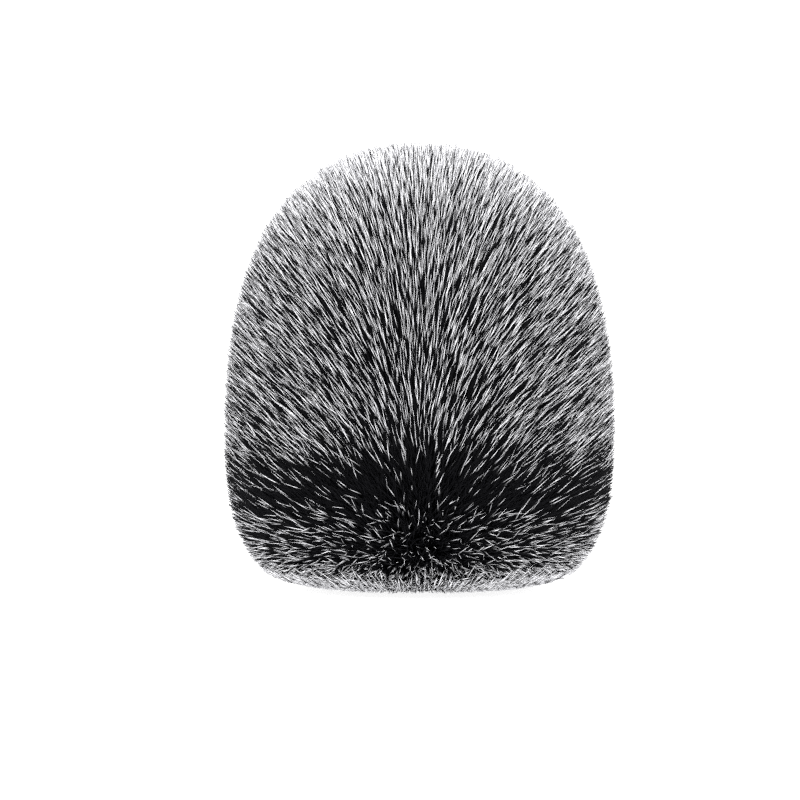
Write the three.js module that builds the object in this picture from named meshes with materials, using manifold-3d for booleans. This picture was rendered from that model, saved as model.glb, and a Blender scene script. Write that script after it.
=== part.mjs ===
// A furry windscreen for a hand-held sound recorder: a long-pile fur cover that slips over a foam insert.
// The cover is four gores of faux fur sewn crown to hem, closed underneath by a fur gusset whose neck is
// gathered by an elastic. The insert is a cap of open-cell foam with a knitted lining and a bound mouth.
//
// Millimetres. +Z is up, X is the width, -Y is the front, and the origin is at the middle of the foot.

import * as THREE from 'three';
import { mergeVertices } from 'three/addons/utils/BufferGeometryUtils.js';
import Module from 'manifold-3d';

const wasm = await Module();
wasm.setup();

// ---------------------------------------------------------------------------
// Driving dimensions
// ---------------------------------------------------------------------------

// The whole windscreen over the tips of the brushed pile.
const HEIGHT = 145;
const HALF_WIDTH = 64;
const HALF_DEPTH = 54;
const BELLY = 48; // height of the widest section, above which the sides close in to the crown
const FOOT = 0.77; // the foot's width as a share of the widest section

// Layers, from the outside in.
const PILE = 17.5; // brushed pile, square to its backing
const BACKING = 1.3; // knitted backing of the fur
const SLIP = 1.7; // room between backing and foam, where the seam tapes lie
const FOAM = 8;
const LINING = 0.7;
const THREAD = 0.6;
const TAPE = 0.85; // seam tape, crown patch and mouth binding

const GAP = 0.35; // clearance between pieces that touch
const SEAM = 0.3; // gap between the cut edges of neighbouring gores

// The insert.
const INSERT_FLOOR = 14; // underside of the foam base ring
const SHOULDER = 86; // where the foam wall meets the crown
const MOUTH_HALF_WIDTH = 32.5;
const MOUTH_HALF_DEPTH = 22.5;
const BINDING_LAP = 2.5; // how far the binding covers the foam round the mouth

// The neck of the cover.
const NECK_HALF_WIDTH = 30;
const NECK_HALF_DEPTH = 20;
const CASING_FLOOR = 1.5;
const CASING_HEIGHT = 10.7;
const CASING_WALL = 0.9;
const ELASTIC_THICKNESS = 1.4;
const ELASTIC_WIDTH = 8;
const GUSSET_FLOOR = 0.8;
const GUSSET_TOP = 10;

// Small trim.
const TAPE_WIDTH = 8;
const PATCH_RADIUS = 9.6;

// Shape of every oval section and of every dome, so that the layers stay parallel.
const SQUARENESS = 2.3; // 2 is a true ellipse, and more is squarer
const DOME_RISE = 2.5;
const DOME_ROUND = 2.4;
const FOOT_CURVE = 2.2;

// Fineness of the facets.
const AROUND = 40;
const DOME_ROWS = 9;
const FOOT_ROWS = 4;

const FAR = 400; // longer than anything that is cut

// ---------------------------------------------------------------------------
// Materials
// ---------------------------------------------------------------------------

const fur = new THREE.MeshStandardMaterial({ color: 0x5c5b60, roughness: 0.95, metalness: 0 });
const tape = new THREE.MeshStandardMaterial({ color: 0x17171a, roughness: 0.85, metalness: 0 });
const elastic = new THREE.MeshStandardMaterial({ color: 0x1f1f22, roughness: 0.7, metalness: 0 });
const thread = new THREE.MeshStandardMaterial({ color: 0x2b2b2f, roughness: 0.6, metalness: 0 });
const foam = new THREE.MeshStandardMaterial({ color: 0x2a2a2d, roughness: 1, metalness: 0 });
const mesh = new THREE.MeshStandardMaterial({ color: 0x35353a, roughness: 0.8, metalness: 0 });

// ---------------------------------------------------------------------------
// Solids
// ---------------------------------------------------------------------------

function toSolid(geometry) {
  geometry.deleteAttribute('normal');
  geometry.deleteAttribute('uv');
  const merged = mergeVertices(geometry, 1e-4);
  return new wasm.Manifold(new wasm.Mesh({
    numProp: 3,
    vertProperties: merged.attributes.position.array,
    triVerts: new Uint32Array(merged.index.array),
  }));
}

function toGeometry(solid) {
  const { vertProperties, triVerts } = solid.getMesh();
  const geometry = new THREE.BufferGeometry();
  geometry.setAttribute('position', new THREE.BufferAttribute(vertProperties, 3));
  geometry.setIndex(new THREE.BufferAttribute(triVerts, 1));
  return geometry;
}

function box(low, high) {
  const size = high.map((value, i) => value - low[i]);
  const geometry = new THREE.BoxGeometry(...size);
  geometry.translate(...low.map((value, i) => value + size[i] / 2));
  return toSolid(geometry);
}

// A body with oval sections. The profile runs from the axis at the bottom to the axis at the top, as
// (share of the full width, height) points. The facets are turned by half a step, so that a seam plane
// crosses them in the middle.
function ovalBody(profile, halfWidth, halfDepth) {
  const geometry = new THREE.LatheGeometry(profile, AROUND, Math.PI / AROUND);
  geometry.rotateX(Math.PI / 2);
  const points = geometry.attributes.position;
  for (let i = 0; i < points.count; i++) {
    const x = points.getX(i);
    const y = points.getY(i);
    const radius = Math.hypot(x, y);
    if (radius < 1e-9) continue;
    const corner = (Math.abs(x / radius) ** SQUARENESS + Math.abs(y / radius) ** SQUARENESS) ** (-1 / SQUARENESS);
    points.setXY(i, x * corner * halfWidth, y * corner * halfDepth);
  }
  return toSolid(geometry);
}

function ovalPrism(halfWidth, halfDepth, bottom, top) {
  const profile = [[0, bottom], [1, bottom], [1, top], [0, top]].map((p) => new THREE.Vector2(...p));
  return ovalBody(profile, halfWidth, halfDepth);
}

// A ring with upright walls, given by its inner half-width and half-depth and by how thick it is.
function ovalRing(innerWidth, innerDepth, thickness, bottom, top) {
  const outer = ovalPrism(innerWidth + thickness, innerDepth + thickness, bottom, top);
  return outer.subtract(ovalPrism(innerWidth, innerDepth, bottom - 1, top + 1));
}

// Half of a superellipse, from the belly to the crown.
function domeRows(top) {
  const rows = [];
  for (let i = 0; i <= DOME_ROWS; i++) {
    const turn = (i / DOME_ROWS) * (Math.PI / 2);
    const share = i === DOME_ROWS ? 0 : Math.cos(turn) ** (2 / DOME_ROUND);
    rows.push(new THREE.Vector2(share, BELLY + (top - BELLY) * Math.sin(turn) ** (2 / DOME_RISE)));
  }
  return rows;
}

// The space inside a layer that lies this deep under the tips of the pile. It is open below the foot.
function spaceWithin(depth) {
  const profile = [new THREE.Vector2(0, -10), new THREE.Vector2(1, -10), ...domeRows(HEIGHT - depth)];
  return ovalBody(profile, HALF_WIDTH - depth, HALF_DEPTH - depth);
}

// A layer of even thickness that follows the dome.
function layer(depth, thickness) {
  return spaceWithin(depth).subtract(spaceWithin(depth + thickness));
}

function between(solid, bottom, top) {
  return solid.intersect(box([-FAR, -FAR, bottom], [FAR, FAR, top]));
}

// ---------------------------------------------------------------------------
// Depths of the layers under the tips of the pile
// ---------------------------------------------------------------------------

const COVER_INSIDE = PILE + BACKING;
const FOAM_OUTSIDE = COVER_INSIDE + SLIP;
const FOAM_INSIDE = FOAM_OUTSIDE + FOAM;
const INSERT_TOP_OF_BASE = INSERT_FLOOR + FOAM;

// ---------------------------------------------------------------------------
// Fur cover
// ---------------------------------------------------------------------------

// The outside of the brushed pile: a foot that swells out to the belly, and the dome above it.
function furOutside() {
  const profile = [new THREE.Vector2(0, 0)];
  for (let i = 0; i < FOOT_ROWS; i++) {
    const drop = 1 - i / FOOT_ROWS;
    profile.push(new THREE.Vector2(1 - (1 - FOOT) * drop ** FOOT_CURVE, BELLY * (1 - drop)));
  }
  return ovalBody([...profile, ...domeRows(HEIGHT)], HALF_WIDTH, HALF_DEPTH);
}

// One of the four gores. sideX and sideY are the signs of its quarter.
function furGore(shell, sideX, sideY) {
  const edge = SEAM / 2;
  const low = [sideX > 0 ? edge : -FAR, sideY > 0 ? edge : -FAR, -FAR];
  const high = [sideX > 0 ? FAR : -edge, sideY > 0 ? FAR : -edge, FAR];
  return shell.intersect(box(low, high));
}

// Twill tape over a seam, on the inside of the backing. dx and dy point from the crown to its seam.
function seamTape(dx, dy) {
  const strip = layer(COVER_INSIDE + GAP, TAPE);
  const half = TAPE_WIDTH / 2;
  const low = [dx < 0 ? -FAR : dx > 0 ? 0 : -half, dy < 0 ? -FAR : dy > 0 ? 0 : -half, GUSSET_TOP + GAP];
  const high = [dx > 0 ? FAR : dx < 0 ? 0 : half, dy > 0 ? FAR : dy < 0 ? 0 : half, FAR];
  return strip.intersect(box(low, high)).subtract(crownPost(PATCH_RADIUS + GAP));
}

function crownPost(radius) {
  const post = new THREE.CylinderGeometry(radius, radius, HEIGHT, AROUND / 2);
  post.rotateX(Math.PI / 2);
  post.translate(0, 0, HEIGHT);
  return toSolid(post);
}

// A round patch over the point where the four seams and their tapes meet.
function crownPatch() {
  return layer(COVER_INSIDE + GAP, TAPE).intersect(crownPost(PATCH_RADIUS));
}

const CASING_TOP = CASING_FLOOR + CASING_HEIGHT;
const CASING_THICKNESS = 2 * CASING_WALL + ELASTIC_THICKNESS + 2 * GAP;

// The ring of shorter fur that closes the cover from below, between the gores and the neck.
function baseGusset() {
  const outside = ovalPrism(
    HALF_WIDTH - COVER_INSIDE - GAP, HALF_DEPTH - COVER_INSIDE - GAP, GUSSET_FLOOR, GUSSET_TOP);
  const hole = CASING_THICKNESS + GAP;
  return outside.subtract(ovalPrism(NECK_HALF_WIDTH + hole, NECK_HALF_DEPTH + hole, -1, HEIGHT));
}

// The row of stitches that joins the gusset to the gores.
function gussetStitching() {
  const inset = COVER_INSIDE + 4 * GAP + THREAD;
  return ovalRing(
    HALF_WIDTH - inset, HALF_DEPTH - inset, THREAD, GUSSET_TOP + GAP, GUSSET_TOP + GAP + THREAD);
}

// Folded tape round the neck: a channel, open upwards, that holds the elastic.
function neckCasing() {
  const ring = ovalRing(NECK_HALF_WIDTH, NECK_HALF_DEPTH, CASING_THICKNESS, CASING_FLOOR, CASING_TOP);
  const channel = ovalRing(
    NECK_HALF_WIDTH + CASING_WALL, NECK_HALF_DEPTH + CASING_WALL,
    CASING_THICKNESS - 2 * CASING_WALL, CASING_FLOOR + CASING_WALL, CASING_TOP + 1);
  return ring.subtract(channel);
}

function neckElastic() {
  const bottom = CASING_FLOOR + CASING_WALL + GAP;
  const inset = CASING_WALL + GAP;
  return ovalRing(
    NECK_HALF_WIDTH + inset, NECK_HALF_DEPTH + inset, ELASTIC_THICKNESS, bottom, bottom + ELASTIC_WIDTH);
}

// The stitches that close the casing above the elastic.
function casingStitching() {
  const inset = (CASING_THICKNESS - THREAD) / 2;
  return ovalRing(
    NECK_HALF_WIDTH + inset, NECK_HALF_DEPTH + inset, THREAD, CASING_TOP - THREAD, CASING_TOP);
}

// ---------------------------------------------------------------------------
// Foam insert
// ---------------------------------------------------------------------------

// A sheet of foam rolled to an oval, its two ends butted together at the back.
function foamWall() {
  const wall = between(layer(FOAM_OUTSIDE, FOAM), INSERT_TOP_OF_BASE + GAP, SHOULDER);
  return wall.subtract(box([-SEAM / 2, 0, -1], [SEAM / 2, FAR, HEIGHT]));
}

function foamCrown() {
  return between(layer(FOAM_OUTSIDE, FOAM), SHOULDER + GAP, HEIGHT);
}

// A die-cut ring of foam, glued under the wall, with the mouth for the recorder.
function foamBaseRing() {
  const disc = ovalPrism(
    HALF_WIDTH - FOAM_OUTSIDE, HALF_DEPTH - FOAM_OUTSIDE, INSERT_FLOOR, INSERT_TOP_OF_BASE);
  return disc.subtract(ovalPrism(MOUTH_HALF_WIDTH, MOUTH_HALF_DEPTH, 0, HEIGHT));
}

const BINDING_TOP = INSERT_TOP_OF_BASE + GAP + TAPE;

function liningTube() {
  return between(layer(FOAM_INSIDE + GAP, LINING), BINDING_TOP + GAP, SHOULDER);
}

function liningCrown() {
  return between(layer(FOAM_INSIDE + GAP, LINING), SHOULDER + GAP, HEIGHT);
}

// Bias tape folded over the edge of the mouth.
function mouthBinding() {
  const inset = GAP + TAPE;
  const fold = ovalRing(
    MOUTH_HALF_WIDTH - inset, MOUTH_HALF_DEPTH - inset, inset + BINDING_LAP,
    INSERT_FLOOR - inset, BINDING_TOP);
  const foamInFold = ovalRing(
    MOUTH_HALF_WIDTH - GAP, MOUTH_HALF_DEPTH - GAP, BINDING_LAP + 2 * inset,
    INSERT_FLOOR - GAP, INSERT_TOP_OF_BASE + GAP);
  return fold.subtract(foamInFold);
}

// The row of stitches through binding and foam.
function mouthStitching() {
  const bottom = BINDING_TOP + GAP;
  return ovalRing(MOUTH_HALF_WIDTH + GAP, MOUTH_HALF_DEPTH + GAP, THREAD, bottom, bottom + THREAD);
}

// ---------------------------------------------------------------------------
// Assembly
// ---------------------------------------------------------------------------

function piece(group, name, solid, material) {
  const shown = new THREE.Mesh(toGeometry(solid), material);
  shown.name = name;
  group.add(shown);
}

function furCover() {
  const cover = new THREE.Group();
  const shell = furOutside().subtract(spaceWithin(COVER_INSIDE));
  for (const [depthName, sideY] of [['front', -1], ['back', 1]]) {
    for (const [widthName, sideX] of [['left', -1], ['right', 1]]) {
      piece(cover, `fur_gore_${depthName}_${widthName}`, furGore(shell, sideX, sideY), fur);
    }
  }
  for (const [name, dx, dy] of [['front', 0, -1], ['back', 0, 1], ['left', -1, 0], ['right', 1, 0]]) {
    piece(cover, `seam_tape_${name}`, seamTape(dx, dy), tape);
  }
  piece(cover, 'crown_patch', crownPatch(), tape);
  piece(cover, 'base_gusset', baseGusset(), fur);
  piece(cover, 'gusset_stitching', gussetStitching(), thread);
  piece(cover, 'neck_casing', neckCasing(), tape);
  piece(cover, 'neck_elastic', neckElastic(), elastic);
  piece(cover, 'casing_stitching', casingStitching(), thread);
  return cover;
}

function foamInsert() {
  const insert = new THREE.Group();
  piece(insert, 'foam_wall', foamWall(), foam);
  piece(insert, 'foam_crown', foamCrown(), foam);
  piece(insert, 'foam_base_ring', foamBaseRing(), foam);
  piece(insert, 'lining_tube', liningTube(), mesh);
  piece(insert, 'lining_crown', liningCrown(), mesh);
  piece(insert, 'mouth_binding', mouthBinding(), tape);
  piece(insert, 'mouth_stitching', mouthStitching(), thread);
  return insert;
}

const windscreen = new THREE.Group();
windscreen.add(furCover(), foamInsert());

export default windscreen;
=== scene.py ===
"""A furry windscreen for a hand-held sound recorder: a long-pile fur cover over a lined foam insert."""

import math

import bpy
import numpy as np
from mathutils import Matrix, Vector, kdtree


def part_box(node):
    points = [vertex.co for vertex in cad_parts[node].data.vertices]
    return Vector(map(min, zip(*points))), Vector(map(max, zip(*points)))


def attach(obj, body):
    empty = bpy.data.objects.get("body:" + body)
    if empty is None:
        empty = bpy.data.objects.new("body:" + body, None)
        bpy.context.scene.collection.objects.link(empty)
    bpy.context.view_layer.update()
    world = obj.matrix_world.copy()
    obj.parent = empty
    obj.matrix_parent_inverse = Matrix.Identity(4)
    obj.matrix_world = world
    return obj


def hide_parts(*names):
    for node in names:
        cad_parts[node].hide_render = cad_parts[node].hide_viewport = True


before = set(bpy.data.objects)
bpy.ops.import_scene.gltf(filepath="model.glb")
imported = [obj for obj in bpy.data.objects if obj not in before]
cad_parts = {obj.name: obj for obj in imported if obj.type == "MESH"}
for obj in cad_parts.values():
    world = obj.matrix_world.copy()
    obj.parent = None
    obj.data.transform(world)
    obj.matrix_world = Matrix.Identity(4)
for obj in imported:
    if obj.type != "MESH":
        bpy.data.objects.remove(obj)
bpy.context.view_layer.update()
bpy.ops.object.select_all(action="DESELECT")


# --------------------------------------------------------------------
# Foam wall: a strip of open-cell foam, rolled to an oval round the recorder. Its two ends are butted
# and glued at the back.
# --------------------------------------------------------------------

HALF_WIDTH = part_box("fur_gore_back_right")[1].x  # over the tips of the pile, at the belly
HALF_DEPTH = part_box("fur_gore_back_right")[1].y
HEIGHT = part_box("fur_gore_back_right")[1].z
BELLY = 0.048  # height of the widest section

SQUARENESS = 2.3  # of every oval section: 2 is an ellipse, and more is squarer
DOME_RISE = 2.5  # exponents of the dome's profile: up it,
DOME_ROUND = 2.4  # and in towards the axis
DOME_STEPS = 12
UPRIGHT_STEPS = 5

FOAM_OUTSIDE = 0.0205  # how deep the foam lies under the tips of the pile
FOAM = 0.008
FOAM_INSIDE = FOAM_OUTSIDE + FOAM
BUTT_JOINT = 0.0004
GLUE_LINE = 0.0003  # how far the wall's ends squeeze up to the crown and the base ring
CUT_EDGE = 0.0005  # how far the knife's edge rounds over
CELL = 0.0011
CELL_RELIEF = 0.0006
SHALLOWEST_PORE = 0.45  # height of its floor, where the struts are at one
# The pits darken towards this painted shade, deeper ones more; the struts keep the foam's own charcoal.
PORE_PAINTED_SHADE = (0.004, 0.004, 0.005)
STRUT_COLOUR = (0.115, 0.115, 0.122)

AROUND = 96
SMOOTH_UNDER = math.radians(45)  # flatter edges than this are shaded smooth


def dome_turn(height, crown):
    """The angle, nought at the belly and square at the crown, at which a dome passes a height."""
    return math.asin(max(0.0, (height - BELLY) / (crown - BELLY)) ** (DOME_RISE / 2))


def layer_rows(depth, low, high=None):
    """Rows (half-width, half-depth, height) of the face this deep in the dome, up to high or the crown."""
    width, deep, crown = HALF_WIDTH - depth, HALF_DEPTH - depth, HEIGHT - depth
    upright = UPRIGHT_STEPS if low < BELLY else 0
    rows = [(width, deep, low + (BELLY - low) * i / upright) for i in range(upright)]
    first = dome_turn(low, crown)
    last = math.pi / 2 if high is None else dome_turn(high, crown)
    for i in range(DOME_STEPS if high is None else DOME_STEPS + 1):
        turn = first + (last - first) * i / DOME_STEPS
        share = math.cos(turn) ** (2 / DOME_ROUND)
        height = BELLY + (crown - BELLY) * math.sin(turn) ** (2 / DOME_RISE)
        rows.append((width * share, deep * share, height))
    return rows


def pick(piece):
    """Selects this piece alone."""
    bpy.ops.object.select_all(action="DESELECT")
    piece.select_set(True)
    bpy.context.view_layer.objects.active = piece


def face_outwards():
    """Turns every face of the active piece outwards."""
    bpy.ops.object.mode_set(mode="EDIT")
    bpy.ops.mesh.select_all(action="SELECT")
    bpy.ops.mesh.normals_make_consistent(inside=False)
    bpy.ops.object.mode_set(mode="OBJECT")


def draw_together(height):
    """The selected ring runs in to one point on the axis."""
    bpy.ops.mesh.extrude_region_move(TRANSFORM_OT_translate={"value": (0, 0, height)})
    bpy.ops.mesh.merge(type="CENTER")


def swept_oval(name, rows, floor=None, crown=None, around=AROUND):
    """Oval rings, extruded and scaled row by row, and drawn together at the floor or the crown."""
    bpy.ops.mesh.primitive_circle_add(vertices=around, radius=1, location=(0, 0, 0))
    piece = bpy.context.object
    piece.name = piece.data.name = name
    width, depth, height = rows[0]
    for vertex in piece.data.vertices:
        x, y = vertex.co.x, vertex.co.y
        corner = (abs(x) ** SQUARENESS + abs(y) ** SQUARENESS) ** (-1 / SQUARENESS)
        vertex.co = (x * corner * width, y * corner * depth, height)
    bpy.ops.object.mode_set(mode="EDIT")
    bpy.ops.mesh.select_all(action="SELECT")
    for before, after in zip(rows, rows[1:]):
        bpy.ops.mesh.extrude_region_move(TRANSFORM_OT_translate={"value": (0, 0, after[2] - before[2])})
        growth = (after[0] / before[0], after[1] / before[1], 1)
        bpy.ops.transform.resize(value=growth, center_override=(0, 0, after[2]))
    if crown is not None:
        draw_together(crown - rows[-1][2])
    if floor is not None:
        bpy.ops.mesh.select_all(action="DESELECT")
        bpy.ops.object.mode_set(mode="OBJECT")
        for vertex in piece.data.vertices[:around]:
            vertex.select = True
        bpy.ops.object.mode_set(mode="EDIT")
        bpy.ops.mesh.select_mode(type="VERT")
        draw_together(floor - rows[0][2])
    bpy.ops.mesh.select_all(action="SELECT")
    bpy.ops.mesh.remove_doubles(threshold=1e-6)
    face_outwards()
    bpy.ops.object.shade_smooth_by_angle(angle=SMOOTH_UNDER)
    return piece


def finished(piece, kind, **settings):
    """Adds a modifier to a piece and applies it."""
    pick(piece)
    modifier = piece.modifiers.new(kind.lower(), kind)
    for setting, value in settings.items():
        setattr(modifier, setting, value)
    bpy.ops.object.modifier_apply(modifier=modifier.name)


def round_cut_edges(piece):
    finished(piece, "BEVEL", width=CUT_EDGE, segments=2, limit_method="ANGLE", angle_limit=math.radians(50))
    bpy.ops.object.shade_smooth_by_angle(angle=SMOOTH_UNDER)


def placed(nodes, kind, **values):
    """A new shader node with its settings and its unlinked inputs set."""
    node = nodes.new(kind)
    for key, value in values.items():
        if key in node.inputs:
            node.inputs[key].default_value = value
        else:
            setattr(node, key, value)
    return node


def effect_group(name, inputs, outputs):
    """An empty node group with the named sockets."""
    group = bpy.data.node_groups.new(name, "ShaderNodeTree")
    for socket, kind, value in inputs:
        made = group.interface.new_socket(socket, in_out="INPUT", socket_type=f"NodeSocket{kind}")
        if value is not None:
            made.default_value = value
    for socket, kind in outputs:
        group.interface.new_socket(socket, in_out="OUTPUT", socket_type=f"NodeSocket{kind}")
    return group, group.nodes.new("NodeGroupInput"), group.nodes.new("NodeGroupOutput")


def open_cells():
    """Foam cells: the struts between the pores stand up, and each pore is a pit of its own depth."""
    group, given, out = effect_group(
        "open_cells",
        [("Vector", "Vector", None), ("Cell", "Float", 0.001)],
        [("Strut", "Float"), ("Patch", "Float")],
    )
    nodes, links = group.nodes, group.links
    scale = placed(nodes, "ShaderNodeMath", operation="DIVIDE")
    scale.inputs[0].default_value = 1
    links.new(given.outputs["Cell"], scale.inputs[1])
    walls = placed(nodes, "ShaderNodeTexVoronoi", feature="DISTANCE_TO_EDGE", Randomness=0.9)
    pores = placed(nodes, "ShaderNodeTexVoronoi", feature="F1", Randomness=0.9)
    for pattern in (walls, pores):
        links.new(given.outputs["Vector"], pattern.inputs["Vector"])
        links.new(scale.outputs[0], pattern.inputs["Scale"])
    strut = placed(
        nodes, "ShaderNodeMapRange", interpolation_type="SMOOTHSTEP",
        **{"From Min": 0.02, "From Max": 0.22, "To Min": 1.0, "To Max": 0.0},
    )
    links.new(walls.outputs["Distance"], strut.inputs["Value"])
    depth = placed(nodes, "ShaderNodeSeparateColor")
    links.new(pores.outputs["Color"], depth.inputs[0])
    shallow = placed(nodes, "ShaderNodeMath", operation="MULTIPLY")
    shallow.inputs[1].default_value = SHALLOWEST_PORE
    links.new(depth.outputs["Red"], shallow.inputs[0])
    level = placed(nodes, "ShaderNodeMath", operation="MAXIMUM")
    links.new(strut.outputs["Result"], level.inputs[0])
    links.new(shallow.outputs[0], level.inputs[1])
    cloud = placed(nodes, "ShaderNodeTexNoise", Scale=70.0, Detail=3.0)
    links.new(given.outputs["Vector"], cloud.inputs["Vector"])
    links.new(level.outputs[0], out.inputs["Strut"])
    links.new(cloud.outputs["Fac"], out.inputs["Patch"])
    return group


def new_material(name, roughness):
    made = bpy.data.materials.new(name)
    made.use_nodes = True
    shader = made.node_tree.nodes["Principled BSDF"]
    shader.inputs["Roughness"].default_value = roughness
    shader.inputs["Specular IOR Level"].default_value = 0.2
    return made, made.node_tree.nodes, made.node_tree.links, shader


def tinted(nodes, links, factor, dark, light, shader):
    """Base Color runs from dark to light with a factor."""
    mix = placed(nodes, "ShaderNodeMix", data_type="RGBA")
    mix.inputs["A"].default_value = (*dark, 1)
    mix.inputs["B"].default_value = (*light, 1)
    links.new(factor, mix.inputs["Factor"])
    links.new(mix.outputs["Result"], shader.inputs["Base Color"])


def raised(nodes, links, height, distance, shader):
    bump = placed(nodes, "ShaderNodeBump", Strength=1.0, Distance=distance)
    links.new(height, bump.inputs["Height"])
    links.new(bump.outputs["Normal"], shader.inputs["Normal"])


cells = open_cells()


def foam_material():
    made, nodes, links, shader = new_material("open_cell_foam", 0.95)
    place = nodes.new("ShaderNodeTexCoord")
    pattern = placed(nodes, "ShaderNodeGroup", node_tree=cells, Cell=CELL)
    links.new(place.outputs["Object"], pattern.inputs["Vector"])
    # Painted shade: the pits are coloured darker the deeper they lie, with a random mottle over it.
    painted_pit_shade_and_mottle = placed(nodes, "ShaderNodeMath", operation="MULTIPLY")
    links.new(pattern.outputs["Strut"], painted_pit_shade_and_mottle.inputs[0])
    links.new(pattern.outputs["Patch"], painted_pit_shade_and_mottle.inputs[1])
    tinted(nodes, links, painted_pit_shade_and_mottle.outputs[0], PORE_PAINTED_SHADE, STRUT_COLOUR, shader)
    raised(nodes, links, pattern.outputs["Strut"], CELL_RELIEF, shader)
    return made


foam_finish = foam_material()


def foam_piece(piece, node):
    round_cut_edges(piece)
    piece.data.materials.append(foam_finish)
    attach(piece, "foam_insert")
    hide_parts(node)


wall_low, wall_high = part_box("foam_wall")
outer_face, inner_face = [
    layer_rows(depth, wall_low.z - GLUE_LINE, wall_high.z + GLUE_LINE)
    for depth in (FOAM_OUTSIDE, FOAM_INSIDE)
]
rolled_foam = swept_oval("rolled_foam", outer_face + inner_face[::-1] + outer_face[:1])
bpy.ops.mesh.primitive_cube_add(size=1, location=(0, wall_high.y, (wall_low.z + wall_high.z) / 2))
knife = bpy.context.object
knife.scale = (BUTT_JOINT, 4 * FOAM, wall_high.z)
bpy.context.view_layer.update()
finished(rolled_foam, "BOOLEAN", operation="DIFFERENCE", object=knife, solver="EXACT")
bpy.data.objects.remove(knife)
foam_piece(rolled_foam, "foam_wall")

# --------------------------------------------------------------------
# Foam crown: a dome moulded from the same foam, glued on the top edge of the wall.
# --------------------------------------------------------------------

crown_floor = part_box("foam_crown")[0].z
crown_rows = layer_rows(FOAM_INSIDE, crown_floor)[::-1] + layer_rows(FOAM_OUTSIDE, crown_floor)
moulded_crown = swept_oval(
    "moulded_foam_dome", crown_rows, floor=HEIGHT - FOAM_INSIDE, crown=HEIGHT - FOAM_OUTSIDE
)
foam_piece(moulded_crown, "foam_crown")

# --------------------------------------------------------------------
# Foam base ring: die-cut from the same foam, and glued under the wall. The recorder goes through it.
# --------------------------------------------------------------------

MOUTH_HALF_WIDTH = 0.0325
MOUTH_HALF_DEPTH = 0.0225

base_low, base_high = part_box("foam_base_ring")
base_outside = (HALF_WIDTH - FOAM_OUTSIDE, HALF_DEPTH - FOAM_OUTSIDE)
ring_corners = [
    (*base_outside, base_low.z),
    (*base_outside, base_high.z),
    (MOUTH_HALF_WIDTH, MOUTH_HALF_DEPTH, base_high.z),
    (MOUTH_HALF_WIDTH, MOUTH_HALF_DEPTH, base_low.z),
]
foam_piece(swept_oval("die_cut_foam_ring", ring_corners + ring_corners[:1]), "foam_base_ring")

# --------------------------------------------------------------------
# Lining: a tube and a crown of open knitted mesh, glued inside the foam so that the recorder slides in.
# --------------------------------------------------------------------

LINING_OUTSIDE = 0.02885
LINING = 0.0007
CLOTH_ROUGHNESS = 0.85


def round_the_oval():
    """Cloth wrapped round the windscreen: across is round the oval, and up is up and then inwards."""
    group, given, out = effect_group(
        "round_the_oval", [("Vector", "Vector", None), ("Girth", "Float", 0.25)], [("Vector", "Vector")]
    )
    nodes, links = group.nodes, group.links
    split = nodes.new("ShaderNodeSeparateXYZ")
    links.new(given.outputs["Vector"], split.inputs[0])
    angle = placed(nodes, "ShaderNodeMath", operation="ARCTAN2")
    links.new(split.outputs["Y"], angle.inputs[0])
    links.new(split.outputs["X"], angle.inputs[1])
    turns = placed(nodes, "ShaderNodeMath", operation="DIVIDE")
    links.new(angle.outputs[0], turns.inputs[0])
    turns.inputs[1].default_value = 2 * math.pi
    across = placed(nodes, "ShaderNodeMath", operation="MULTIPLY")
    links.new(turns.outputs[0], across.inputs[0])
    links.new(given.outputs["Girth"], across.inputs[1])
    flat = placed(nodes, "ShaderNodeVectorMath", operation="MULTIPLY")
    links.new(given.outputs["Vector"], flat.inputs[0])
    flat.inputs[1].default_value = (1, 1, 0)
    radius = placed(nodes, "ShaderNodeVectorMath", operation="LENGTH")
    links.new(flat.outputs["Vector"], radius.inputs[0])
    up = placed(nodes, "ShaderNodeMath", operation="SUBTRACT")
    links.new(split.outputs["Z"], up.inputs[0])
    links.new(radius.outputs["Value"], up.inputs[1])
    joined = nodes.new("ShaderNodeCombineXYZ")
    links.new(across.outputs[0], joined.inputs["X"])
    links.new(up.outputs[0], joined.inputs["Y"])
    links.new(joined.outputs[0], out.inputs["Vector"])
    return group


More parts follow.
